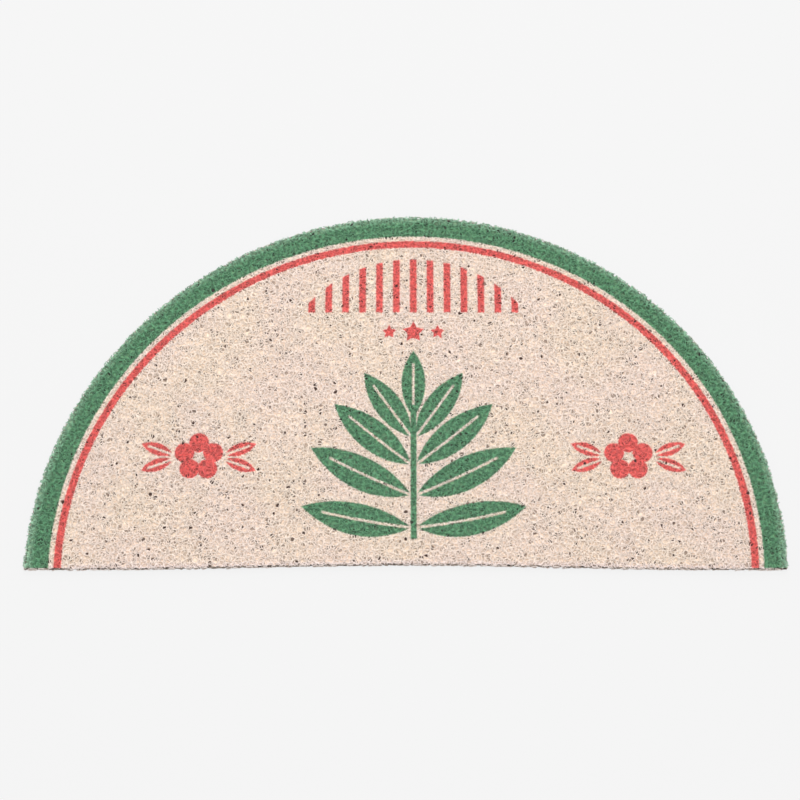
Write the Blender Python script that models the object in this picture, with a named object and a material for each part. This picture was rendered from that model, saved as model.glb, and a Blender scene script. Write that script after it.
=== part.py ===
"""A half-round doormat of looped filament, lying flat.

The mat is one piece, cut from a sheet of loops that are fused where they
cross: a half disc with a lumpy top, a rough cut rim and a flat underside.
The straight edge faces -Y. The origin lies on the underside, in the middle
of the mat.
"""

import math

import bmesh
import bpy
from mathutils import Vector, noise

# Outline, in metres
RADIUS = 0.450  # the arc, about its centre just outside the straight edge
THICKNESS = 0.010  # from the underside to the highest loops
ARC_LEAN = 0.0176  # the arc's drift to +X, for each metre away from the straight edge
EDGE_RISE = 0.0015  # from the arc's centre to the straight edge
EDGE_BOW = 0.0054  # how far the straight edge is drawn in at its middle
EDGE_BOW_REACH = 0.370  # from the middle of that edge to where the bow has faded out

# Lumps of the loops, in metres
TOP_RELIEF = 0.0015  # from the highest lump to the deepest dip
TOP_LUMP_SIZE = 0.020
RIM_RELIEF = 0.0014  # how far the cut rim wanders in and out, in all
RIM_LUMP_SIZE = 0.016

# The cut rim, from the top to the underside: inset in metres, share of the thickness
RIM_STEPS = (
    (0.0012, 1.00),
    (0.0002, 0.80),
    (0.0000, 0.25),
    (0.0006, 0.00),
)

# Mesh
CELLS_ACROSS = 80
CELLS_DEEP = 40

# Finish: cream filament, as linear colour
CREAM = (0.753, 0.604, 0.503, 1.0)
ROUGHNESS = 0.55


def clear_scene():
    """Remove every object that the scene holds."""
    for item in list(bpy.data.objects):
        bpy.data.objects.remove(item, do_unlink=True)


def make_material(name, colour, roughness):
    """Return a plain Principled material."""
    material = bpy.data.materials.new(name)
    material.use_nodes = True
    shader = material.node_tree.nodes["Principled BSDF"]
    shader.inputs["Base Color"].default_value = colour
    shader.inputs["Roughness"].default_value = roughness
    shader.inputs["Metallic"].default_value = 0.0
    return material


def edge_bow(across):
    """How far the straight edge is drawn in, at a distance from its middle."""
    if abs(across) >= EDGE_BOW_REACH:
        return 0.0
    return EDGE_BOW * (1.0 + math.cos(math.pi * across / EDGE_BOW_REACH)) / 2.0


def outline_place(u, v, inset):
    """Place of a grid point in the half disc, seen from above.

    u runs from -1 to 1 along the straight edge and v from 0 at that edge to
    1 on the arc. The square's three other sides all fall on the arc.
    """
    across = (RADIUS - inset) * u * math.sqrt(1.0 - v * v / 2.0)
    deep = inset + (RADIUS - 2.0 * inset) * v * math.sqrt(1.0 - u * u / 2.0)
    deep += (EDGE_RISE + edge_bow(across)) * (1.0 - v)
    across += ARC_LEAN * deep
    return across, deep


def lump(across, deep, size):
    """Height of a smooth uneven surface, from 0 to 1, with lumps of one size."""
    value = noise.noise(Vector((across / size, deep / size, 0.0)))
    return min(1.0, max(0.0, 0.5 + 0.5 * value))


def make_grid_shell():
    """Return a closed shell in grid space: the top, the rim steps and the underside.

    X and Y hold u and v, and Z holds the number of the rim step, negated.
    """
    shell = bmesh.new()
    bmesh.ops.create_grid(shell, x_segments=CELLS_ACROSS, y_segments=CELLS_DEEP, size=1.0)
    for vert in shell.verts:
        vert.co.y = (vert.co.y + 1.0) / 2.0

    rim = [edge for edge in shell.edges if edge.is_boundary]
    for _ in RIM_STEPS[1:]:
        extruded = bmesh.ops.extrude_edge_only(shell, edges=rim)["geom"]
        lower_verts = [item for item in extruded if isinstance(item, bmesh.types.BMVert)]
        bmesh.ops.translate(shell, verts=lower_verts, vec=(0.0, 0.0, -1.0))
        rim = [
            item
            for item in extruded
            if isinstance(item, bmesh.types.BMEdge) and item.is_boundary
        ]
    bmesh.ops.contextual_create(shell, geom=rim)
    return shell


def shape_shell(shell):
    """Move the shell's points from grid space to their places in the mat."""
    for vert in shell.verts:
        u, v, level = vert.co
        on_rim = abs(u) > 0.9999 or v < 0.0001 or v > 0.9999
        inset, share = RIM_STEPS[round(-level)] if on_rim else (0.0, 1.0)
        if on_rim:
            across, deep = outline_place(u, v, 0.0)
            inset += RIM_RELIEF * lump(across, deep, RIM_LUMP_SIZE)
        across, deep = outline_place(u, v, inset)
        height = THICKNESS - TOP_RELIEF * lump(across, deep, TOP_LUMP_SIZE)
        vert.co = Vector((across, deep, height * share))


def make_mat():
    """Return the mat as an object, with its middle at the origin."""
    shell = make_grid_shell()
    shape_shell(shell)
    bmesh.ops.recalc_face_normals(shell, faces=shell.faces)
    mesh = bpy.data.meshes.new("mat")
    shell.to_mesh(mesh)
    shell.free()
    mesh.shade_smooth()
    mesh.set_sharp_from_angle(angle=math.radians(40.0))
    mesh.materials.append(make_material("cream looped filament", CREAM, ROUGHNESS))
    mat = bpy.data.objects.new("mat", mesh)
    mat.location = (0.0, -RADIUS / 2.0, 0.0)
    return mat


def main():
    clear_scene()
    collection = bpy.data.collections.new("doormat")
    bpy.context.scene.collection.children.link(collection)
    collection.objects.link(make_mat())


main()
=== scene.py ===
import logging
import math
from dataclasses import dataclass
from enum import IntEnum
from typing import Any

import bmesh
import bpy
import numpy as np
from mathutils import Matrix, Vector, noise


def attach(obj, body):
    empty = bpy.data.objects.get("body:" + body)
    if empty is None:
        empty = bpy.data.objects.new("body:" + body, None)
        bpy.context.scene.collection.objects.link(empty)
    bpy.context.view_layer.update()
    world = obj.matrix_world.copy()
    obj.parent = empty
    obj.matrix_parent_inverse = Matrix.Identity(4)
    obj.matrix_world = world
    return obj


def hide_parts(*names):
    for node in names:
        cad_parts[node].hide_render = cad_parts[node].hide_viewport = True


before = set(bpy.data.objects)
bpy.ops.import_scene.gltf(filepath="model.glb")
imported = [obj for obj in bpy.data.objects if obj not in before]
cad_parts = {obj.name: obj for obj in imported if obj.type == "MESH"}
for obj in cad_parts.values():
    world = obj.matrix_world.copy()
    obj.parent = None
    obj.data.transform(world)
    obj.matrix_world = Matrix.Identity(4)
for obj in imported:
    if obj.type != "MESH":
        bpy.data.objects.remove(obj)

# A half-round doormat of looped filament: a fused core, printed curls on top and a raw cut side

logging.basicConfig(level=logging.INFO, format="%(name)s: %(message)s")
log = logging.getLogger("doormat")

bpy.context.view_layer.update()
NODE = "mat"
BODY = "root"
MM = 0.001

BAKE_MAP = "OFBake"
MAP_MARGIN = 0.005  # share of the map left bare round its rim
WELD = 1e-6  # metres, under which two points become one
GRID_SLACK = 1e-4  # in grid space, far less than a cell
SHARP_ANGLE = math.radians(40.0)  # between faces, past which their edge isn't smoothed over

SHADER = "Principled BSDF"
NOISE_SPAN = (0.3, 0.7)  # where nearly all values of a noise lie
INK_FADE = 1.6  # mm, over which an inked edge fades
FIFTH_FOLD = math.pi / 5.0  # half of a fifth of a turn, from the middle of a point or petal to its side
# Sockets of a colour Mix node go by number, because their names repeat
MIX_SHARE, MIX_UNDER, MIX_OVER, MIX_RESULT = 0, 6, 7, 2

Tree = bpy.types.NodeTree
Socket = bpy.types.NodeSocket
Material = bpy.types.Material
# One sum: the result's name, the operation, and the names or numbers that it takes
Step = tuple[Any, ...]


def linear(hex_colour: str) -> tuple[float, float, float, float]:
    """Turn an sRGB hex colour into linear red, green, blue and alpha.

    Args:
        hex_colour: Six hex digits, such as "f0dccb".

    Returns:
        The linear colour with an alpha of 1.
    """
    channels = [int(hex_colour[k:k + 2], 16) / 255.0 for k in (0, 2, 4)]
    low = [c / 12.92 for c in channels]
    high = [((c + 0.055) / 1.055) ** 2.4 for c in channels]
    red, green, blue = (a if c <= 0.04045 else b for c, a, b in zip(channels, low, high))
    return red, green, blue, 1.0


def add_node(tree: Tree, kind: str, inputs: dict[Any, Any], **settings: Any) -> bpy.types.Node:
    """Add one node, with its settings and links.

    Args:
        tree: The node tree that gets the node.
        kind: The node's type name.
        inputs: Values and sockets by input name or index. A socket is linked.
        settings: Properties of the node.

    Returns:
        The new node.
    """
    node = tree.nodes.new(kind)
    for name, value in settings.items():
        setattr(node, name, value)
    for name, value in inputs.items():
        if isinstance(value, Socket):
            tree.links.new(value, node.inputs[name])
        else:
            node.inputs[name].default_value = value
    return node


def work_out(tree: Tree, values: dict[str, Any], steps: list[Step]) -> None:
    """Add the sums of a formula to a node tree, a step at a time.

    Args:
        tree: The node tree that gets the sums.
        values: Sockets by name. Each step's result is added under its name.
        steps: Rows of result, operation, and the names or numbers that it takes.
            A multiply-add is held between 0 and 1, because it draws an edge.
    """
    for result, operation, *takes in steps:
        inputs = {k: values[item] if isinstance(item, str) else item for k, item in enumerate(takes)}
        held = operation == "MULTIPLY_ADD"
        node = add_node(tree, "ShaderNodeMath", inputs, operation=operation, use_clamp=held)
        values[result] = node.outputs[0]


def above(result: str, value: str, limit: float, fade: float = INK_FADE) -> Step:
    """Step that is 1 where a value is over a limit, and fades out across it."""
    return result, "MULTIPLY_ADD", value, 1.0 / fade, 0.5 - limit / fade


def below(result: str, value: str, limit: float, fade: float = INK_FADE) -> Step:
    """Step that is 1 where a value is under a limit, and fades out across it."""
    return result, "MULTIPLY_ADD", value, -1.0 / fade, 0.5 + limit / fade


def length_steps(result: str, x: str, y: str) -> list[Step]:
    """Steps that give how far the place x, y lies from 0, 0.

    Args:
        result: Name of the distance, also put before the steps' own names.
        x: Name of the place across.
        y: Name of the place up.

    Returns:
        The steps.
    """
    return [
        (f"{result}_xx", "MULTIPLY", x, x),
        (f"{result}_yy", "MULTIPLY", y, y),
        (f"{result}_square", "ADD", f"{result}_xx", f"{result}_yy"),
        (result, "SQRT", f"{result}_square"),
    ]


def joining_steps(result: str, first: str, *others: str) -> list[Step]:
    """Steps that put drawn shapes together into one."""
    return [(result, "MAXIMUM", result if k else first, other) for k, other in enumerate(others)]


def patches(
    tree: Tree,
    place: Socket,
    size: float,
    tones: tuple[float, float],
    detail: float = 0.0,
    span: tuple[float, float] = NOISE_SPAN,
) -> Socket:
    """Draw soft uneven patches, as seen from above.

    Args:
        tree: The node tree that gets them.
        place: The place that is looked at.
        size: About how wide a patch is, in the place's unit.
        tones: Values in the weakest and in the strongest patches.
        detail: How many finer layers lie over the first.
        span: The noise's values that count as weakest and strongest.

    Returns:
        The value at the place.
    """
    uneven = add_node(
        tree,
        "ShaderNodeTexNoise",
        {"Vector": place, "Scale": 1.0 / size, "Detail": detail},
        noise_dimensions="2D",
    ).outputs["Fac"]
    limits = {"From Min": span[0], "From Max": span[1], "To Min": tones[0], "To Max": tones[1]}
    return add_node(tree, "ShaderNodeMapRange", {"Value": uneven, **limits}).outputs[0]


@dataclass(frozen=True)
class Outline:
    """The cut outline, in millimetres from the arc's centre, with the arc towards +Y."""

    radius: float = 450.8
    lean: float = 0.0176  # the arc's drift to +X, for each millimetre away from the straight edge
    rise: float = 1.5  # from the arc's centre to the straight edge
    bow: float = 5.4  # how far the straight edge is drawn in at its middle
    bow_reach: float = 370.0  # from the middle of that edge to where the bow has faded out
    middle: float = 225.0  # from the arc's centre to the CAD frame's origin

    def edge(self, x: np.ndarray) -> np.ndarray:
        """Where the straight edge runs at x: it is drawn in towards its middle."""
        faded = np.minimum(np.abs(x) / self.bow_reach, 1.0)
        return self.rise + self.bow * (1.0 + np.cos(math.pi * faded)) / 2.0

    def depth_inside(
        self,
        x: np.ndarray,
        y: np.ndarray,
        arc_trim: np.ndarray | float = 0.0,
        edge_trim: np.ndarray | float = 0.0,
    ) -> np.ndarray:
        """Smaller distance inside the arc or the straight edge, less its trim: negative outside."""
        from_arc = self.radius - np.hypot(x - self.lean * y, y)
        return np.minimum(from_arc - arc_trim, y - self.edge(x) - edge_trim)

    def place(self, u: float, v: float, inset: float) -> tuple[float, float]:
        """Turn a point of a square grid into a place in the half disc.

        Args:
            u: From -1 to 1 along the straight edge.
            v: From 0 at the straight edge to 1 on the arc.
            inset: How much smaller the half disc is all round.

        Returns:
            The place across and the place away from the straight edge.
        """
        across = (self.radius - inset) * u * math.sqrt(1.0 - v * v / 2.0)
        deep = inset + (self.radius - 2.0 * inset) * v * math.sqrt(1.0 - u * u / 2.0)
        deep += float(self.edge(np.float64(across))) * (1.0 - v)
        return across + self.lean * deep, deep

    def in_frame(self, points: np.ndarray) -> np.ndarray:
        """Turn places in the mat's millimetres into the CAD frame's metres."""
        return (points - np.array((0.0, self.middle, 0.0))) * MM


@dataclass(frozen=True)
class Leaf:
    """One printed leaf: two arcs that meet at its ends, with an open vein.

    Sizes are in millimetres, and the turn is in degrees from +X.
    """

    foot: tuple[float, float]
    turn: float
    length: float
    width: float
    vein_share: float = 0.62  # of half the length, from the leaf's middle to the vein's end

    def group_inputs(self) -> dict[str, Any]:
        """Work out where the leaf's middle lies and how its two arcs run.

        Returns:
            Values for the inputs of the leaf's node group.
        """
        angle = math.radians(self.turn)
        half_length, half_width = self.length / 2.0, self.width / 2.0
        radius = (half_length**2 + half_width**2) / (2.0 * half_width)
        middle = (
            self.foot[0] + half_length * math.cos(angle),
            self.foot[1] + half_length * math.sin(angle),
            0.0,
        )
        return {
            "Middle": middle,
            "Turn": (0.0, 0.0, angle),
            "Arc centre": (0.0, radius - half_width, 0.0),
            "Arc radius": radius,
            "Vein end": half_length * self.vein_share,
        }


@dataclass(frozen=True)
class Print:
    """The ink on the mat, as a node group that turns a place into a colour.

    Sizes and places are in millimetres. Places count from the arc's centre,
    but those of the motifs count across from the axis, where the middle star is.
    """

    outline: Outline
    cream: str = "f9e8dd"
    warm_cream: str = "f9e9da"
    warm_patch: float = 90.0  # across a patch of warmer cream
    warm_span: tuple[float, float] = (0.35, 0.65)
    green: str = "5f9670"
    red: str = "eb6a66"
    pale_green: str = "aed0b8"  # where the band is worn thin, towards the cut rim
    cut_cream: str = "f8e8e2"
    cut_width: float = 4.5  # of the strip along the straight edge that has no cream ink
    border_centre: tuple[float, float] = (0.5, 7.5)
    border_squeeze: float = 0.987  # the border is a little wider than it is deep
    band_inner: float = 417.1
    worn_from: float = 433.5  # where the band starts to wear pale
    worn_over: float = 16.0
    ring_outer: float = 411.2
    ring_inner: float = 402.3
    border_end: float = 0.8  # from the straight edge
    axis: float = 9.6
    bar_pitch: float = 20.8
    bar_width: float = 8.4
    bar_foot: float = 324.1
    fan_centre: float = 222.0
    fan_radius: float = 172.2
    star_height: float = 298.6
    star_apart: float = 29.5
    star_radius: float = 14.0
    side_star_radius: float = 9.2
    star_slant: float = 62.0  # degrees, and 72 would draw thin points
    star_fade: float = 1.0  # crisper than other edges, because the points are small
    spray_curl: float = 1500.0  # leaves curl up by the square of their reach over this
    stem_foot: float = 38.0
    stem_top: float = 205.0
    stem_half_width: float = 3.6
    leaves: tuple[Leaf, ...] = (
        Leaf((3.0, 52.0), 6.0, 132.0, 40.0),
        Leaf((3.0, 92.0), 22.0, 130.0, 42.0),
        Leaf((3.0, 130.0), 37.0, 116.0, 39.0),
        Leaf((2.0, 164.0), 54.0, 98.0, 33.0),
        Leaf((0.0, 190.0), 90.0, 84.0, 29.0),
    )
    vein_half_width: float = 1.5
    vein_fade: float = 3.0  # along the vein, at its end
    flower_apart: float = 258.0
    flower_height: float = 139.0
    petal_reach: float = 18.0
    petal_radius: float = 12.0
    eye_radius: float = 5.0
    flower_leaf: Leaf = Leaf((31.0, 3.0), 20.0, 40.0, 15.0)
    wander: float = 0.8  # the most that an inked edge strays
    wander_size: float = 2.5  # along such an edge, from one bulge to the next
    mottle_size: float = 2.8  # across a spot where the sheet takes the light or the ink unevenly
    mottle_tones: tuple[float, float] = (0.88, 1.06)
    blot_size: float = 4.0  # across a blot, where ink lies thick or thin
    blot_tones: tuple[float, float] = (0.72, 1.26)
    red_blots: float = 0.55  # red ink lies more evenly than green

    def leaf_group(self) -> Tree:
        """Make the node group that draws one leaf.

        Returns:
            A group from a place and a leaf's sizes to 1 inside the leaf.
        """
        tree = bpy.data.node_groups.new("leaf of two arcs", "ShaderNodeTree")
        for name in ("Place", "Middle", "Turn", "Arc centre"):
            tree.interface.new_socket(name, in_out="INPUT", socket_type="NodeSocketVector")
        for name in ("Arc radius", "Vein end"):
            tree.interface.new_socket(name, in_out="INPUT", socket_type="NodeSocketFloat")
        tree.interface.new_socket("Leaf", in_out="OUTPUT", socket_type="NodeSocketFloat")
        given = add_node(tree, "NodeGroupInput", {}).outputs
        turned = add_node(
            tree,
            "ShaderNodeMapping",
            {"Vector": given["Place"], "Location": given["Middle"], "Rotation": given["Turn"]},
            vector_type="TEXTURE",
        ).outputs[0]
        # Folded both ways, so one arc draws both sides of the leaf
        folded = add_node(tree, "ShaderNodeVectorMath", {0: turned}, operation="ABSOLUTE").outputs[0]
        from_centre = add_node(
            tree, "ShaderNodeVectorMath", {0: folded, 1: given["Arc centre"]}, operation="ADD"
        ).outputs[0]
        reach = add_node(tree, "ShaderNodeVectorMath", {0: from_centre}, operation="LENGTH")
        values = {
            "reach": reach.outputs["Value"],
            "radius": given["Arc radius"],
            "vein_end": given["Vein end"],
            "along": add_node(tree, "ShaderNodeSeparateXYZ", {0: turned}).outputs[0],
            "beside": add_node(tree, "ShaderNodeSeparateXYZ", {0: folded}).outputs[1],
        }
        steps = [
            ("over", "SUBTRACT", "reach", "radius"),
            below("whole", "over", 0.0),
            ("past_vein", "SUBTRACT", "along", "vein_end"),
            below("near_foot", "past_vein", 0.0, self.vein_fade),
            below("on_vein", "beside", self.vein_half_width),
            ("vein", "MULTIPLY", "near_foot", "on_vein"),
            ("leaf", "SUBTRACT", "whole", "vein"),
            ("drawn", "MAXIMUM", "leaf", 0.0),
        ]
        work_out(tree, values, steps)
        add_node(tree, "NodeGroupOutput", {"Leaf": values["drawn"]})
        return tree

    def edge_steps(self) -> list[Step]:
        """Give the distance from the straight edge, which is drawn in towards its middle.

        Returns:
            Sums for the strip along that edge and for where the border ends.
        """
        half_bow = self.outline.bow / 2.0
        return [
            ("from_middle", "ABSOLUTE", "x"),
            ("bow_turn", "MULTIPLY", "from_middle", math.pi / self.outline.bow_reach),
            ("bow_held", "MINIMUM", "bow_turn", math.pi),
            ("bow_wave", "COSINE", "bow_held"),
            ("bow", "MULTIPLY", "bow_wave", half_bow),
            ("over_bow", "SUBTRACT", "y", "bow"),
            ("from_edge", "SUBTRACT", "over_bow", self.outline.rise + half_bow),
            below("at_cut", "from_edge", self.cut_width, self.cut_width),
            above("past_end", "from_edge", self.border_end),
        ]

    def border_steps(self) -> list[Step]:
        """Draw the outer band and the ring, which lean with the arc.

        Returns:
            Sums for the band, the part of it that is worn, and the ring.
        """
        middle_x, middle_y = self.border_centre
        return [
            ("slip", "MULTIPLY", "y", -self.outline.lean),
            ("upright_x", "ADD", "x", "slip"),
            ("beside", "SUBTRACT", "upright_x", middle_x),
            ("ring_x", "MULTIPLY", "beside", self.border_squeeze),
            ("ring_y", "SUBTRACT", "y", middle_y),
            *length_steps("reach", "ring_x", "ring_y"),
            above("in_band", "reach", self.band_inner),
            ("band", "MULTIPLY", "in_band", "past_end"),
            above("worn", "reach", self.worn_from + self.worn_over / 2.0, self.worn_over),
            above("in_ring", "reach", self.ring_inner),
            below("out_ring", "reach", self.ring_outer),
            ("whole_ring", "MULTIPLY", "in_ring", "out_ring"),
            ("ring", "MULTIPLY", "whole_ring", "past_end"),
        ]

    def fan_steps(self) -> list[Step]:
        """Draw the fan of upright bars, cut off by an arc above.

        Returns:
            Sums for the fan, and for the place across from the axis.
        """
        return [
            ("ax", "SUBTRACT", "x", self.axis),
            ("mirror_x", "ABSOLUTE", "ax"),
            ("from_bar", "PINGPONG", "ax", self.bar_pitch / 2.0),
            below("bars", "from_bar", self.bar_width / 2.0),
            above("over_foot", "y", self.bar_foot),
            ("fan_y", "SUBTRACT", "y", self.fan_centre),
            *length_steps("fan_reach", "ax", "fan_y"),
            below("in_fan", "fan_reach", self.fan_radius),
            ("bars_up", "MULTIPLY", "bars", "over_foot"),
            ("fan", "MULTIPLY", "bars_up", "in_fan"),
        ]

    def star_steps(self, name: str, x: str, y: str, radius: float) -> list[Step]:
        """Draw a five-pointed star with a point up.

        Args:
            name: Name of the result, also put before the steps' own names.
            x: Name of the place across from the star's middle.
            y: Name of the place above it.
            radius: Distance from the middle to a point.

        Returns:
            The sums. A fifth of a turn is folded onto the line from a point to a notch.
        """
        slant = math.radians(self.star_slant)
        return [
            (f"{name}_turn", "ARCTAN2", x, y),
            (f"{name}_fold", "PINGPONG", f"{name}_turn", FIFTH_FOLD),
            (f"{name}_swing", "SUBTRACT", f"{name}_fold", slant),
            (f"{name}_part", "COSINE", f"{name}_swing"),
            *length_steps(f"{name}_reach", x, y),
            (f"{name}_side", "MULTIPLY", f"{name}_reach", f"{name}_part"),
            below(name, f"{name}_side", radius * math.cos(slant), self.star_fade),
        ]

    def star_row_steps(self) -> list[Step]:
        """Draw the middle star and, mirrored, a smaller one at each side.

        Returns:
            The sums for both kinds of star.
        """
        return [
            ("star_x", "SUBTRACT", "mirror_x", self.star_apart),
            ("star_y", "SUBTRACT", "y", self.star_height),
            *self.star_steps("star", "ax", "star_y", self.star_radius),
            *self.star_steps("side_star", "star_x", "star_y", self.side_star_radius),
        ]

    def flower_steps(self) -> list[Step]:
        """Draw a five-petalled flower at each side, mirrored.

        Returns:
            Sums for the flower, and for the folded place that its leaves are drawn at.
        """
        return [
            ("flower_x", "SUBTRACT", "mirror_x", self.flower_apart),
            ("flower_y", "SUBTRACT", "y", self.flower_height),
            ("flower_turn", "ARCTAN2", "flower_x", "flower_y"),
            ("flower_fold", "PINGPONG", "flower_turn", FIFTH_FOLD),
            *length_steps("flower_reach", "flower_x", "flower_y"),
            ("flower_cos", "COSINE", "flower_fold"),
            ("flower_sin", "SINE", "flower_fold"),
            ("petal_along", "MULTIPLY", "flower_reach", "flower_cos"),
            ("petal_x", "MULTIPLY", "flower_reach", "flower_sin"),
            ("petal_y", "SUBTRACT", "petal_along", self.petal_reach),
            *length_steps("petal_far", "petal_x", "petal_y"),
            below("petals", "petal_far", self.petal_radius),
            above("past_eye", "flower_reach", self.eye_radius),
            ("flower", "MULTIPLY", "petals", "past_eye"),
            ("leaf_x", "ABSOLUTE", "flower_x"),
            ("leaf_y", "ABSOLUTE", "flower_y"),
        ]

    def stem_steps(self) -> list[Step]:
        """Draw the spray's stem.

        Returns:
            Sums for the stem, and for the height that the curled leaves are drawn at.
        """
        return [
            ("reach_square", "MULTIPLY", "mirror_x", "mirror_x"),
            ("curl", "MULTIPLY", "reach_square", -1.0 / self.spray_curl),
            ("spray_y", "ADD", "y", "curl"),
            below("on_stem", "mirror_x", self.stem_half_width),
            above("over_stem_foot", "y", self.stem_foot),
            below("under_stem_top", "y", self.stem_top),
            ("stem_side", "MULTIPLY", "on_stem", "over_stem_foot"),
            ("stem", "MULTIPLY", "stem_side", "under_stem_top"),
        ]

    def tone_steps(self) -> list[Step]:
        """Make the sheet and the ink on it uneven in tone.

        Returns:
            Sums for the tone, from the ink and the noise of the mottle and the blots.
        """
        return [
            ("red_ink", "MULTIPLY", "red", self.red_blots),
            ("ink", "MAXIMUM", "green", "red_ink"),
            ("blot_more", "SUBTRACT", "blot", 1.0),
            ("blot_here", "MULTIPLY", "blot_more", "ink"),
            ("ink_tone", "ADD", "blot_here", 1.0),
            ("tone", "MULTIPLY", "ink_tone", "mottle"),
        ]

    def stray(self, tree: Tree, on_mat: Socket) -> dict[str, Any]:
        """Shift the place to and fro, because ink on curled filament has no clean edge.

        Args:
            tree: The print's node tree.
            on_mat: The place in millimetres.

        Returns:
            The shifted place's x and y.
        """
        bulges = add_node(
            tree,
            "ShaderNodeTexNoise",
            {"Vector": on_mat, "Scale": 1.0 / self.wander_size, "Detail": 1.0},
        ).outputs["Color"]
        span, start = 2.0 * self.wander, -self.wander
        shift = add_node(
            tree,
            "ShaderNodeVectorMath",
            {0: bulges, 1: (span, span, 0.0), 2: (start, start, 0.0)},
            operation="MULTIPLY_ADD",
        ).outputs[0]
        place = add_node(tree, "ShaderNodeVectorMath", {0: on_mat, 1: shift}, operation="ADD")
        split = add_node(tree, "ShaderNodeSeparateXYZ", {0: place.outputs[0]}).outputs
        return {"x": split[0], "y": split[1]}

    def draw_leaves(self, tree: Tree, values: dict[str, Any]) -> None:
        """Add the leaves of the spray to its stem, and those of the flowers.

        Args:
            tree: The print's node tree.
            values: Sockets by name. The spray and the flowers' leaves are added to them.
        """
        leaf = self.leaf_group()
        spray_place, flower_place = (
            add_node(tree, "ShaderNodeCombineXYZ", {0: values[x], 1: values[y]}).outputs[0]
            for x, y in (("mirror_x", "spray_y"), ("leaf_x", "leaf_y"))
        )
        values["spray"] = values["stem"]
        for shape in self.leaves:
            inputs = {"Place": spray_place, **shape.group_inputs()}
            values["leaf"] = add_node(tree, "ShaderNodeGroup", inputs, node_tree=leaf).outputs[0]
            work_out(tree, values, joining_steps("spray", "spray", "leaf"))
        inputs = {"Place": flower_place, **self.flower_leaf.group_inputs()}
        values["flower_leaf"] = add_node(tree, "ShaderNodeGroup", inputs, node_tree=leaf).outputs[0]

    def lay_colours(self, tree: Tree, values: dict[str, Any]) -> Socket:
        """Lay the colours over each other, from the sheet to the red ink.

        Args:
            tree: The print's node tree.
            values: Sockets by name, with the share of each layer.

        Returns:
            The colour.
        """
        names = ("cream", "warm_cream", "cut_cream", "green", "pale_green", "red")
        colours: dict[str, Any] = {name: linear(getattr(self, name)) for name in names}
        # A row is the result, what lies under, what lies over it and the upper one's share
        layers = (
            ("sheet", "cream", "warm_cream", "warm"),
            ("bare", "sheet", "cut_cream", "at_cut"),
            ("worn_green", "green", "pale_green", "worn"),
            ("green_inked", "bare", "worn_green", "green"),
            ("inked", "green_inked", "red", "red"),
        )
        for result, under, over, share in layers:
            inputs = {MIX_SHARE: values[share], MIX_UNDER: colours[under], MIX_OVER: colours[over]}
            node = add_node(tree, "ShaderNodeMix", inputs, data_type="RGBA")
            colours[result] = node.outputs[MIX_RESULT]
        return colours["inked"]

    def group(self) -> Tree:
        """Make the node group that gives the printed colour of a place.

        Returns:
            A group from a place in metres, in the CAD frame, to a colour.
        """
        tree = bpy.data.node_groups.new("print on looped filament", "ShaderNodeTree")
        tree.interface.new_socket("Place", in_out="INPUT", socket_type="NodeSocketVector")
        tree.interface.new_socket("Colour", in_out="OUTPUT", socket_type="NodeSocketColor")
        given = add_node(tree, "NodeGroupInput", {}).outputs
        on_mat = add_node(
            tree,
            "ShaderNodeVectorMath",
            {0: given["Place"], 1: (1.0 / MM,) * 3, 2: (0.0, self.outline.middle, 0.0)},
            operation="MULTIPLY_ADD",
        ).outputs[0]
        values = self.stray(tree, on_mat)
        steps = [
            *self.edge_steps(),
            *self.border_steps(),
            *self.fan_steps(),
            *self.star_row_steps(),
            *self.flower_steps(),
            *self.stem_steps(),
        ]
        work_out(tree, values, steps)
        self.draw_leaves(tree, values)
        greens = joining_steps("green", "spray", "band")
        reds = joining_steps("red", "ring", "fan", "star", "side_star", "flower", "flower_leaf")
        work_out(tree, values, greens + reds)
        values["warm"] = patches(tree, on_mat, self.warm_patch, (0.0, 1.0), 1.0, self.warm_span)
        values["mottle"] = patches(tree, on_mat, self.mottle_size, self.mottle_tones)
        values["blot"] = patches(tree, on_mat, self.blot_size, self.blot_tones)
        colour = self.lay_colours(tree, values)
        work_out(tree, values, self.tone_steps())
        inputs = {"Vector": colour, "Scale": values["tone"]}
        uneven = add_node(tree, "ShaderNodeVectorMath", inputs, operation="SCALE").outputs[0]
        add_node(tree, "NodeGroupOutput", {"Colour": uneven})
        return tree


def new_material(name: str, roughness: float) -> Material:
    """Make a material with a plain Principled shader.

    Args:
        name: What the material is.
        roughness: How far it scatters a reflection.

    Returns:
        The material.
    """
    material = bpy.data.materials.new(name)
    material.use_nodes = True
    material.node_tree.nodes[SHADER].inputs["Roughness"].default_value = roughness
    return material


def coat(tree: Tree, colour: Socket, height: Socket, strength: float, sink: float) -> None:
    """Give a material's shader its colour and its relief.

    Args:
        tree: The material's node tree.
        colour: The colour.
        height: 1 on the strands, and 0 in the bottom of a gap.
        strength: How strongly the relief bends the light.
        sink: Millimetres from the strands down into a gap.
    """
    shader = tree.nodes[SHADER]
    inputs = {"Height": height, "Strength": strength, "Distance": sink * MM}
    bump = add_node(tree, "ShaderNodeBump", inputs).outputs[0]
    tree.links.new(colour, shader.inputs["Base Color"])
    tree.links.new(bump, shader.inputs["Normal"])


@dataclass(frozen=True)
class PlainFinish:
    """A finish of one colour."""

    name: str
    colour: str
    roughness: float
    shine: float = 0.5
    glow: float = 0.0

    def make(self) -> Material:
        """Make the material.

        Returns:
            The material.
        """
        material = new_material(self.name, self.roughness)
        shader = material.node_tree.nodes[SHADER]
        shader.inputs["Base Color"].default_value = linear(self.colour)
        shader.inputs["Specular IOR Level"].default_value = self.shine
        shader.inputs["Emission Strength"].default_value = self.glow
        return material


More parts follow.
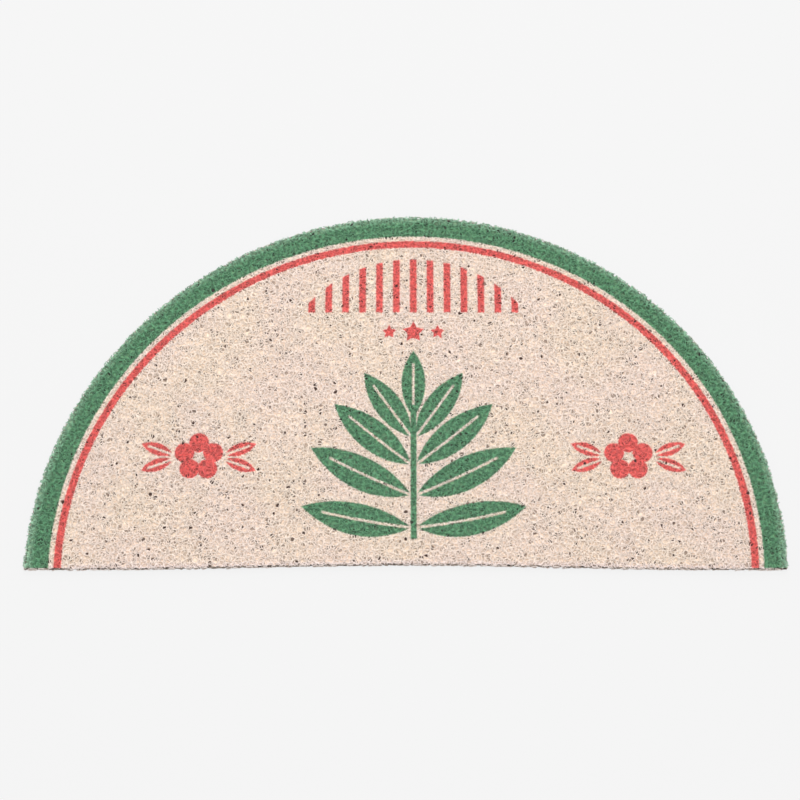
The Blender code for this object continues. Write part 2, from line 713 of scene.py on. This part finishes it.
@dataclass(frozen=True)
class PrintedFilament:
    """Extruded soft PVC with ink on it: a satin strand, so its crests catch a soft light."""

    name: str = "extruded PVC filament, printed"
    ink: float = 1.0  # how well the ink covers
    bare: str = "f5ebe5"
    roughness: float = 0.48
    bend: float = 3.5  # mm, one bend of the filament, over which its tone changes
    tones: tuple[float, float] = (0.95, 1.02)

    def make(self, printed: Tree) -> Material:
        """Make the material.

        Args:
            printed: The node group that gives the printed colour.

        Returns:
            The material.
        """
        material = new_material(self.name, self.roughness)
        tree = material.node_tree
        place = add_node(tree, "ShaderNodeTexCoord", {}).outputs["Object"]
        full = add_node(tree, "ShaderNodeGroup", {"Place": place}, node_tree=printed).outputs[0]
        inputs = {MIX_SHARE: self.ink, MIX_UNDER: linear(self.bare), MIX_OVER: full}
        colour = add_node(tree, "ShaderNodeMix", inputs, data_type="RGBA").outputs[MIX_RESULT]
        shade = patches(tree, place, self.bend * MM, self.tones, detail=1.0)
        inputs = {"Vector": colour, "Scale": shade}
        toned = add_node(tree, "ShaderNodeVectorMath", inputs, operation="SCALE").outputs[0]
        tree.links.new(toned, tree.nodes[SHADER].inputs["Base Color"])
        return material


@dataclass(frozen=True)
class DeepLayers:
    """Fused filament under the top loops: each round gap ends at its own depth, so at its own tone,
    with painted shade: the deeper the gap, the darker and browner its colour is painted.
    """

    gap_pitch: float = 6.1  # mm, from one gap to the next
    gap_width: float = 5.6  # mm, across one gap
    slope: float = 0.25  # share of a gap's radius over which its wall slopes, in and out
    scatter: float = 0.85  # 1 sets the gaps at random, and 0 in rows
    deep_share: float = 0.062  # share of the gaps that are deep and painted fully dark, as painted shade
    fade: float = 0.46  # low makes most of the other gaps shallow
    level: str = "f8f1e7"  # painted shade, slight: hardly tints the printed colour between the gaps
    deepest_shade: str = "3c1e08"  # painted shade: tints it brown and dark in the gaps that go furthest down
    roughness: float = 0.6
    relief: float = 0.6  # how strongly the gaps bend the light
    sink: float = 1.0  # mm, from the level into a gap

    def make(self, printed: Tree) -> Material:
        """Make the material of the core's top.

        Args:
            printed: The node group that gives the printed colour.

        Returns:
            The material.
        """
        material = new_material("fused PVC filament, deep layers, painted shade", self.roughness)
        tree = material.node_tree
        place = add_node(tree, "ShaderNodeTexCoord", {}).outputs["Object"]
        colour = add_node(tree, "ShaderNodeGroup", {"Place": place}, node_tree=printed).outputs[0]
        cells = add_node(
            tree,
            "ShaderNodeTexVoronoi",
            {"Vector": place, "Scale": 1.0 / (self.gap_pitch * MM), "Randomness": self.scatter},
            voronoi_dimensions="2D",
        ).outputs
        draw = add_node(tree, "ShaderNodeSeparateXYZ", {0: cells["Color"]}).outputs[0]
        rank = add_node(tree, "ShaderNodeMapRange", {"Value": draw, "From Min": self.deep_share})
        values = {"rank": rank.outputs[0], "distance": cells["Distance"]}
        # The pattern's distances count in pitches
        radius = 0.5 * self.gap_width / self.gap_pitch
        steps = [
            ("depth", "POWER", "rank", self.fade),
            above("wall", "distance", radius, 2.0 * self.slope * radius),
            ("height", "MAXIMUM", "depth", "wall"),
        ]
        work_out(tree, values, steps)
        # Painted shade: the printed colour is dimmed a little on the level and darkened to brown down
        # in the gaps
        light, dark = (
            add_node(
                tree, "ShaderNodeVectorMath", {0: colour, 1: linear(tint)[:3]}, operation="MULTIPLY"
            ).outputs[0]
            for tint in (self.level, self.deepest_shade)
        )
        inputs = {MIX_SHARE: values["height"], MIX_UNDER: dark, MIX_OVER: light}
        toned = add_node(tree, "ShaderNodeMix", inputs, data_type="RGBA").outputs[MIX_RESULT]
        coat(tree, toned, values["height"], self.relief, self.sink)
        return material


@dataclass(frozen=True)
class PressedLoops:
    """The underside: loops laid down soft, so their flattened rings cross and leave small gaps."""

    strand: str = "dccbbd"  # duller than the top, because no ink or light is on it
    # Painted shade: the gaps between the pressed rings are drawn dark
    gap: str = "5d4b3f"
    pitch: float = 8.4  # mm, from one ring to the next in one layer
    scatter: float = 0.8  # 1 sets the rings at random, and 0 in rows
    ring_radius: float = 3.5  # mm
    strand_width: float = 1.6  # mm, wider than the round filament, because it is pressed flat
    fade: float = 0.5  # mm, across a strand's side
    layers: int = 3
    shift: float = 41.3  # mm, from one layer's pattern to the next one's
    roughness: float = 0.7
    relief: float = 1.0  # how strongly the gaps bend the light
    sink: float = 0.8  # mm, from the pressed face into a gap

    def make(self) -> Material:
        """Make the material of the core's underside.

        Returns:
            The material.
        """
        material = new_material("fused PVC filament, pressed flat", self.roughness)
        tree = material.node_tree
        place = add_node(tree, "ShaderNodeTexCoord", {}).outputs["Object"]
        # The pattern's distances count in pitches
        steps = [
            ("away", "SUBTRACT", "distance", self.ring_radius / self.pitch),
            ("apart", "ABSOLUTE", "away"),
            below("ring", "apart", 0.5 * self.strand_width / self.pitch, self.fade / self.pitch),
            ("net", "MAXIMUM", "net", "ring"),
        ]
        values: dict[str, Any] = {"net": 0.0}
        for layer in range(self.layers):
            shift = (layer * self.shift * MM, 0.0, 0.0)
            moved = add_node(
                tree, "ShaderNodeVectorMath", {0: place, 1: shift}, operation="ADD"
            ).outputs[0]
            values["distance"] = add_node(
                tree,
                "ShaderNodeTexVoronoi",
                {"Vector": moved, "Scale": 1.0 / (self.pitch * MM), "Randomness": self.scatter},
                voronoi_dimensions="2D",
            ).outputs["Distance"]
            work_out(tree, values, steps)
        # Painted shade in the gaps, and the strand colour on the rings
        gap, strand = linear(self.gap), linear(self.strand)
        inputs = {MIX_SHARE: values["net"], MIX_UNDER: gap, MIX_OVER: strand}
        toned = add_node(tree, "ShaderNodeMix", inputs, data_type="RGBA").outputs[MIX_RESULT]
        coat(tree, toned, values["net"], self.relief, self.sink)
        return material


# Dark and matt, so the gaps in the cut side read as deep
SHADED_GAPS = PlainFinish("gaps between filament, in shadow", "40362f", 0.9)
# Painted shade: greyer and duller than the top, because it lies behind the outer loops, where little
# light gets in
SHADED_INNER_FILAMENT = PlainFinish("extruded PVC filament, lower layers, painted shade", "a8998c", 0.6)
# Ink only mists the cut side, so its print stays paler than the top's; its bare filament is painted
# darker than the top's, as painted shade on the side
MISTED_SHADED_FILAMENT = PrintedFilament("extruded PVC filament, misted with ink, painted shade", ink=0.4, bare="e2d6cd")
# Lit from below as well, so the mat throws hardly any shadow on it
BACKLIT_TABLE = PlainFinish("backlit white acrylic", "505050", 0.95, shine=0.0, glow=0.815)


def show(piece: bpy.types.Object) -> None:
    """Put an object in the scene."""
    bpy.context.scene.collection.objects.link(piece)


def corner_shares(mesh: bpy.types.Mesh) -> np.ndarray:
    """Find where each corner of each face lies in the mesh's box.

    Args:
        mesh: The mesh.

    Returns:
        A row for each corner, with a share from 0 to 1 by axis.
    """
    points = np.empty(len(mesh.vertices) * 3, np.float32)
    mesh.vertices.foreach_get("co", points)
    corners = np.empty(len(mesh.loops), np.int32)
    mesh.loops.foreach_get("vertex_index", corners)
    points = points.reshape(-1, 3)
    low, high = points.min(axis=0), points.max(axis=0)
    return ((points - low) / (high - low))[corners]


def write_map(mesh: bpy.types.Mesh, across: np.ndarray, up: np.ndarray) -> None:
    """Give a mesh its map for baking, with a bare margin.

    Args:
        mesh: The mesh.
        across: A place from 0 to 1 for each corner of each face.
        up: The same, square to it.
    """
    places = MAP_MARGIN + (1.0 - 2.0 * MAP_MARGIN) * np.column_stack([across, up])
    layer = mesh.uv_layers.new(name=BAKE_MAP)
    layer.data.foreach_set("uv", places.astype(np.float32).ravel())


def runs_inside(path: np.ndarray, depth: np.ndarray) -> list[np.ndarray]:
    """Cut a path into the runs that lie inside, ending each at the very edge.

    Args:
        path: Points of the path, a row each.
        depth: How far inside each point lies, negative outside.

    Returns:
        The runs that have at least two of the path's points inside.
    """
    inside = depth > 0.0
    changes = np.flatnonzero(np.diff(inside.astype(np.int8))) + 1
    bounds = [0, *changes.tolist(), len(path)]
    runs = []
    for start, stop in zip(bounds[:-1], bounds[1:]):
        if not inside[start] or stop - start < 2:
            continue
        run = [path[start:stop]]
        if start > 0:
            share = depth[start] / (depth[start] - depth[start - 1])
            run.insert(0, path[start:start + 1] * (1.0 - share) + path[start - 1:start] * share)
        if stop < len(path):
            share = depth[stop - 1] / (depth[stop - 1] - depth[stop])
            run.append(path[stop - 1:stop] * (1.0 - share) + path[stop:stop + 1] * share)
        runs.append(np.concatenate(run))
    return runs


def strands(
    name: str, runs: list[np.ndarray], diameter: float, material: Material
) -> bpy.types.Object:
    """Make filament along many paths, as one mesh.

    Args:
        name: The piece's name.
        runs: Paths in the CAD frame, in metres.
        diameter: The filament's diameter in metres.
        material: The filament's finish.

    Returns:
        The piece, shown in the scene.
    """
    curve = bpy.data.curves.new(name, "CURVE")
    curve.dimensions = "3D"
    curve.bevel_depth = diameter / 2.0
    curve.bevel_resolution = 0
    curve.use_fill_caps = True
    for run in runs:
        spline = curve.splines.new("POLY")
        spline.points.add(len(run) - 1)
        places = np.column_stack([run, np.ones(len(run))])
        spline.points.foreach_set("co", places.astype(np.float32).ravel())
    holder = bpy.data.objects.new(name + "_path", curve)
    show(holder)
    graph = bpy.context.evaluated_depsgraph_get()
    mesh = bpy.data.meshes.new_from_object(holder.evaluated_get(graph))
    bpy.data.objects.remove(holder)
    bpy.data.curves.remove(curve)
    welded = bmesh.new()
    welded.from_mesh(mesh)
    bmesh.ops.remove_doubles(welded, verts=welded.verts, dist=WELD)
    welded.to_mesh(mesh)
    welded.free()
    mesh.name = name
    mesh.shade_smooth()
    mesh.materials.clear()
    mesh.materials.append(material)
    # The map is flat, seen from above, because the colour is printed from above
    shares = corner_shares(mesh)
    write_map(mesh, shares[:, 0], shares[:, 1])
    piece = bpy.data.objects.new(name, mesh)
    show(piece)
    return piece


def lump(x: float, y: float, size: float) -> float:
    """Height of a smooth uneven surface, from about 0 to 1, with lumps of one size."""
    return 0.5 + 0.5 * noise.noise(Vector((x, y, 0.0)) / size)


@dataclass(frozen=True)
class Curl:
    """The shape of one open turn of filament. Lengths are in millimetres."""

    radius: tuple[float, float]  # least and most
    turns: tuple[float, float] = (0.9, 1.15)  # least and most
    swell: float = 0.3  # share by which a curl may widen or narrow along its run
    oval: float = 0.12  # share by which it is drawn out one way and in the other
    points: int = 10

    def draw(
        self, middles: np.ndarray, across: np.ndarray, aside: np.ndarray, rng: np.random.Generator
    ) -> np.ndarray:
        """Draw many curls, each with its own size, start and way round.

        Args:
            middles: The curls' middles, a row each.
            across: One direction in each curl's plane, a row each.
            aside: The direction square to it.
            rng: The source of the random draws.

        Returns:
            Places by curl, point and axis.
        """
        count = (len(middles), 1)
        share = np.linspace(0.0, 1.0, self.points)[None, :]
        sweep = rng.uniform(*self.turns, count) * rng.choice((-1.0, 1.0), count)
        angle = 2.0 * math.pi * (rng.uniform(0.0, 1.0, count) + sweep * share)
        swell = 1.0 + rng.uniform(-self.swell, self.swell, count) * (share - 0.5)
        oval = 1.0 + self.oval * np.cos(2.0 * (angle - rng.uniform(0.0, math.pi, count)))
        reach = rng.uniform(*self.radius, count) * swell * oval
        along = (reach * np.cos(angle))[..., None] * across[:, None, :]
        beside = (reach * np.sin(angle))[..., None] * aside[:, None, :]
        return middles[:, None, :] + along + beside


class CoreFace(IntEnum):
    """The core's faces, numbered as its finishes are."""

    TOP = 0
    SIDE = 1
    UNDERSIDE = 2


@dataclass
class Core:
    """The lower layers, which fuse into a slab with a lumpy top. Sizes are in millimetres."""

    outline: Outline
    arc_inset: float = 0.9  # from the cut outline, at the arc
    edge_inset: float = 0.6  # the same at the straight edge
    rim_relief: float = 0.7  # how far the side wanders in and out, in all
    rim_lump: float = 16.0
    height: float = 7.4
    relief: float = 0.5  # from the highest lump of the top to its deepest dip
    lump_size: float = 9.0
    cells_across: int = 120
    cells_deep: int = 60
    # The side from the top to the underside: a step's inset, and its share of the height
    rim: tuple[tuple[float, float], ...] = ((0.6, 1.0), (0.0, 0.8), (0.0, 0.2), (0.4, 0.0))
    # For each face: from where to where it lies up the map, and the axis that runs up there
    map_bands: tuple[tuple[float, float, int], ...] = ((0.53, 1.0, 1), (0.49, 0.51, 2), (0.0, 0.47, 1))

    def shell(self) -> bmesh.types.BMesh:
        """Make the closed shell in grid space, with each face's finish.

        Returns:
            The shell, with the rim step's number, negated, as height.
        """
        shell = bmesh.new()
        bmesh.ops.create_grid(
            shell, x_segments=self.cells_across, y_segments=self.cells_deep, size=1.0
        )
        for vert in shell.verts:
            vert.co.y = (vert.co.y + 1.0) / 2.0
        edge = [item for item in shell.edges if item.is_boundary]
        whole = [*shell.verts, *shell.edges, *shell.faces]
        under = bmesh.ops.duplicate(shell, geom=whole)["geom"]
        under_verts = [item for item in under if isinstance(item, bmesh.types.BMVert)]
        bmesh.ops.translate(shell, verts=under_verts, vec=(0.0, 0.0, 1.0 - len(self.rim)))
        for face in (item for item in under if isinstance(item, bmesh.types.BMFace)):
            face.material_index = CoreFace.UNDERSIDE
        for _ in self.rim[1:]:
            made = bmesh.ops.extrude_edge_only(shell, edges=edge)["geom"]
            lower = [item for item in made if isinstance(item, bmesh.types.BMVert)]
            bmesh.ops.translate(shell, verts=lower, vec=(0.0, 0.0, -1.0))
            for face in (item for item in made if isinstance(item, bmesh.types.BMFace)):
                face.material_index = CoreFace.SIDE
            edges = (item for item in made if isinstance(item, bmesh.types.BMEdge))
            edge = [item for item in edges if item.is_boundary]
        bmesh.ops.remove_doubles(shell, verts=shell.verts, dist=GRID_SLACK)
        return shell

    def shape(self, shell: bmesh.types.BMesh) -> None:
        """Move the shell's points from grid space to their places in the mat.

        Args:
            shell: The shell in grid space.
        """
        for vert in shell.verts:
            u, v, level = vert.co
            at_edge = v < GRID_SLACK
            on_rim = abs(u) > 1.0 - GRID_SLACK or at_edge or v > 1.0 - GRID_SLACK
            step, share = self.rim[round(-level)] if on_rim or level < 0.0 else (0.0, 1.0)
            inset = self.edge_inset if at_edge else self.arc_inset
            x, y = self.outline.place(u, v, inset)
            wander = self.rim_relief * lump(x, y, self.rim_lump)
            x, y = self.outline.place(u, v, inset + step + wander)
            top = self.height - self.relief * lump(x, y, self.lump_size)
            vert.co = Vector((x, y - self.outline.middle, top * share)) * MM

    def unwrap(self, mesh: bpy.types.Mesh) -> None:
        """Give the top, the side and the underside a band each of the map for baking.

        Args:
            mesh: The core's mesh.
        """
        shares = corner_shares(mesh)
        corner_count = np.empty(len(mesh.polygons), np.int32)
        mesh.polygons.foreach_get("loop_total", corner_count)
        finish = np.empty(len(mesh.polygons), np.int32)
        mesh.polygons.foreach_get("material_index", finish)
        up = np.choose(
            np.repeat(finish, corner_count),
            [low + (high - low) * shares[:, axis] for low, high, axis in self.map_bands],
        )
        write_map(mesh, shares[:, 0], up)

    def build(self, finishes: dict[CoreFace, Material]) -> bpy.types.Object:
        """Build the core.

        Args:
            finishes: The material of each face.

        Returns:
            The piece, shown in the scene.
        """
        shell = self.shell()
        self.shape(shell)
        bmesh.ops.recalc_face_normals(shell, faces=shell.faces)
        mesh = bpy.data.meshes.new("core")
        shell.to_mesh(mesh)
        shell.free()
        mesh.shade_smooth()
        mesh.set_sharp_from_angle(angle=SHARP_ANGLE)
        for face in CoreFace:
            mesh.materials.append(finishes[face])
        self.unwrap(mesh)
        piece = bpy.data.objects.new("core", mesh)
        show(piece)
        return piece


@dataclass
class TopLoops:
    """The top layer: curls of filament that lie nearly flat, scattered over the whole mat.

    Sizes and heights are in millimetres.
    """

    outline: Outline
    curl: Curl = Curl(radius=(3.5, 6.0))
    spacing: float = 5.6
    scatter: float = 0.45  # share of the spacing
    filament: float = 1.15
    height: float = 8.2  # of a curl's middle
    highest: float = 9.2
    unevenness: float = 0.5
    tilt: float = 0.2  # the steepest slope of a curl
    arc_trim: tuple[float, float] = (-1.6, 0.9)  # how far inside the arc curls are cut off
    edge_trim: tuple[float, float] = (0.1, 1.5)  # the same for the straight edge, which is cut cleaner
    pieces: int = 6
    seed: int = 11

    def middles(self, rng: np.random.Generator) -> np.ndarray:
        """Scatter the curls' middles, about one in each square of a grid.

        Args:
            rng: The source of the random draws.

        Returns:
            The middles, a row each, ordered by x.
        """
        reach = self.outline.radius + self.spacing
        across = np.arange(-reach, reach, self.spacing)
        deep = np.arange(-self.spacing, reach, self.spacing)
        x, y = (
            line.ravel() + rng.uniform(-1.0, 1.0, line.size) * self.scatter * self.spacing
            for line in np.meshgrid(across, deep)
        )
        z = self.height + self.unevenness * rng.uniform(-1.0, 1.0, x.size)
        near = np.flatnonzero(self.outline.depth_inside(x, y) > -max(self.curl.radius))
        order = near[np.argsort(x[near])]
        return np.column_stack([x, y, z])[order]

    def build(self, material: Material) -> list[bpy.types.Object]:
        """Build the layer, one piece for each stretch of the straight edge.

        Args:
            material: The filament's finish.

        Returns:
            The pieces.
        """
        rng = np.random.default_rng(self.seed)
        middles = self.middles(rng)
        count = len(middles)
        tilts = self.tilt * rng.uniform(-1.0, 1.0, (2, count))
        across = np.column_stack([np.ones(count), np.zeros(count), tilts[0]])
        aside = np.column_stack([np.zeros(count), np.ones(count), tilts[1]])
        curls = self.curl.draw(middles, across, aside, rng)
        curls[..., 2] = np.minimum(curls[..., 2], self.highest)
        trims = (rng.uniform(*span, (count, 1)) for span in (self.arc_trim, self.edge_trim))
        depth = self.outline.depth_inside(curls[..., 0], curls[..., 1], *trims)
        pieces = []
        for k, share in enumerate(np.array_split(np.arange(count), self.pieces)):
            runs = [run for i in share for run in runs_inside(curls[i], depth[i])]
            placed = [self.outline.in_frame(run) for run in runs]
            pieces.append(strands(f"top_loops_{k + 1}", placed, self.filament * MM, material))
        return pieces


@dataclass
class RimLoops:
    """The cut side: curls of filament that stand upright, all the way round.

    Sizes and heights are in millimetres.
    """

    outline: Outline
    name: str = "rim_loops"
    curl: Curl = Curl(radius=(3.0, 4.1), turns=(0.6, 1.1), swell=0.5)
    spacing: float = 6.6
    scatter: float = 0.5  # share of the spacing
    filament: float = 1.2
    middle: tuple[float, float] = (4.3, 5.3)  # least and most height of a curl's middle
    lowest: float = 0.75
    highest: float = 8.4
    inset: tuple[float, float] = (-0.2, 0.6)  # least and most, from the cut outline
    overhang: float = 0.3  # how far past its least inset a curl may reach out
    lean: float = 0.2
    stretch: float = 7.0  # along the rim, either with curls or open
    open_share: float = 0.15
    arc_points: int = 900
    edge_points: int = 700
    seed: int = 5

    def course(self) -> np.ndarray:
        """Draw the outline as a closed line: round the arc, then back along the straight edge.

        Returns:
            The line's points, a row each.
        """
        start = math.asin(self.outline.rise / self.outline.radius)
        turn = np.linspace(start, math.pi - start, self.arc_points)
        arc = self.outline.radius * np.column_stack([np.cos(turn), np.sin(turn)])
        arc[:, 0] += self.outline.lean * arc[:, 1]
        across = np.linspace(arc[-1, 0], arc[0, 0], self.edge_points)
        edge = np.column_stack([across, self.outline.edge(across)])
        return np.concatenate([arc, edge[1:-1], arc[:1]])

    def build(self, material: Material) -> bpy.types.Object:
        """Build the rim's filament.

        Args:
            material: The filament's finish.

        Returns:
            The piece.
        """
        rng = np.random.default_rng(self.seed)
        course = self.course()
        gone = np.concatenate([[0.0], np.cumsum(np.hypot(*np.diff(course, axis=0).T))])
        along = np.arange(0.0, gone[-1] - self.spacing, self.spacing)
        along += self.spacing * self.scatter * rng.uniform(-1.0, 1.0, along.size)
        covered = rng.uniform(0.0, 1.0, int(gone[-1] / self.stretch) + 2) > self.open_share
        along = along[covered[(np.maximum(along, 0.0) / self.stretch).astype(int)]]
        # The second place lies a millimetre ahead, and so gives the rim's heading
        here, ahead = (
            np.column_stack([np.interp(along + step, gone, axis) for axis in course.T])
            for step in (0.0, 1.0)
        )
        heading = (ahead - here) / np.linalg.norm(ahead - here, axis=1)[:, None]
        inward = np.column_stack([-heading[:, 1], heading[:, 0]])
        level = np.zeros(along.size)
        places = here + inward * rng.uniform(*self.inset, (along.size, 1))
        heights = rng.uniform(*self.middle, along.size)
        lean = self.lean * rng.uniform(-1.0, 1.0, (along.size, 1))
        curls = self.curl.draw(
            np.column_stack([places, heights]),
            np.column_stack([heading + inward * lean, level]),
            np.column_stack([inward * lean, level + 1.0]),
            rng,
        )
        curls[..., 2] = np.clip(curls[..., 2], self.lowest, self.highest)
        trim = min(self.inset) - self.overhang
        depth = self.outline.depth_inside(curls[..., 0], curls[..., 1], trim, trim)
        runs = [run for points, inside in zip(curls, depth) for run in runs_inside(points, inside)]
        placed = [self.outline.in_frame(run) for run in runs]
        return strands(self.name, placed, self.filament * MM, material)


@dataclass
class InnerLoops(RimLoops):
    """Broken curls close behind those of the cut side, which half fill the gaps between them."""

    name: str = "inner_loops"
    curl: Curl = Curl(radius=(2.0, 4.4), turns=(0.35, 0.8), swell=0.6)
    spacing: float = 3.4
    middle: tuple[float, float] = (2.0, 5.0)
    lowest: float = 0.7
    highest: float = 7.2
    inset: tuple[float, float] = (0.7, 1.0)
    lean: float = 0.08
    open_share: float = 0.0
    seed: int = 17


@dataclass(frozen=True)
class SoftBox:
    """One soft light, aimed at the mat, in metres and watts."""

    place: tuple[float, float, float]
    side: float
    power: float

    def build(self, name: str) -> None:
        """Put the light in the scene.

        Args:
            name: What the light is for.
        """
        data = bpy.data.lights.new(name, "AREA")
        data.shape = "SQUARE"
        data.size = self.side
        data.energy = self.power
        light = bpy.data.objects.new(name, data)
        light.location = self.place
        light.rotation_euler = (-Vector(self.place)).to_track_quat("-Z", "Y").to_euler()
        show(light)


@dataclass
class Studio:
    """The floor, the soft lights and the camera, in metres and degrees."""

    azimuth: float = 0.0
    elevation: float = 72.0
    distance: float = 2.475
    lens: float = 92.0  # mm
    sight: float = 50.0  # how far the camera sees
    aim: tuple[float, float, float] = (-0.0067, -0.0145, 0.010)
    floor_side: float = 12.0
    floor_height: float = 0.00005  # a hair above the underside, so the two faces don't flicker
    sky: float = 0.62
    key: SoftBox = SoftBox(place=(0.0, 0.0, 2.7), side=2.0, power=37.0)
    back: SoftBox = SoftBox(place=(0.0, 1.6, 1.9), side=1.5, power=21.5)

    def camera(self) -> None:
        """Set up the camera at the photograph's angle."""
        turn, lift = math.radians(self.azimuth), math.radians(self.elevation)
        level = math.cos(lift)
        back = Vector((math.sin(turn) * level, -math.cos(turn) * level, math.sin(lift)))
        data = bpy.data.cameras.new("camera")
        data.lens = self.lens
        data.clip_end = self.sight
        camera = bpy.data.objects.new("camera", data)
        camera.location = Vector(self.aim) + back * self.distance
        camera.rotation_euler = (-back).to_track_quat("-Z", "Y").to_euler()
        show(camera)
        bpy.context.scene.camera = camera

    def floor(self, material: Material) -> None:
        """Lay the floor under the mat.

        Args:
            material: The floor's finish.
        """
        grid = bmesh.new()
        bmesh.ops.create_grid(grid, x_segments=1, y_segments=1, size=self.floor_side / 2.0)
        bmesh.ops.translate(grid, verts=grid.verts, vec=(0.0, 0.0, self.floor_height))
        mesh = bpy.data.meshes.new("floor")
        grid.to_mesh(mesh)
        grid.free()
        mesh.materials.append(material)
        floor = bpy.data.objects.new("floor", mesh)
        show(floor)

    def lights(self) -> None:
        """Light the mat from overhead, a little from behind, and evenly from all round."""
        world = bpy.data.worlds.new("soft studio")
        world.use_nodes = True
        surround = world.node_tree.nodes["Background"]
        surround.inputs["Color"].default_value = (1.0, 1.0, 1.0, 1.0)
        surround.inputs["Strength"].default_value = self.sky
        bpy.context.scene.world = world
        self.key.build("key")
        self.back.build("back")
        bpy.context.scene.view_settings.view_transform = "Standard"


def main() -> None:
    """Build the doormat, its floor, lights and camera."""
    studio = Studio()
    studio.camera()
    studio.lights()
    studio.floor(BACKLIT_TABLE.make())

    outline = Outline()
    printed = Print(outline).group()
    core_finishes = {
        CoreFace.TOP: DeepLayers().make(printed),
        CoreFace.SIDE: SHADED_GAPS.make(),
        CoreFace.UNDERSIDE: PressedLoops().make(),
    }
    core = Core(outline).build(core_finishes)
    loops = TopLoops(outline).build(PrintedFilament().make(printed))
    rim = RimLoops(outline).build(MISTED_SHADED_FILAMENT.make(printed))
    inner = InnerLoops(outline).build(SHADED_INNER_FILAMENT.make())
    for piece in (core, *loops, rim, inner):
        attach(piece, BODY)
        piece.data.calc_loop_triangles()
        log.info("%s: %d triangles", piece.name, len(piece.data.loop_triangles))
    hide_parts(NODE)


if __name__ == "__main__":
    main()
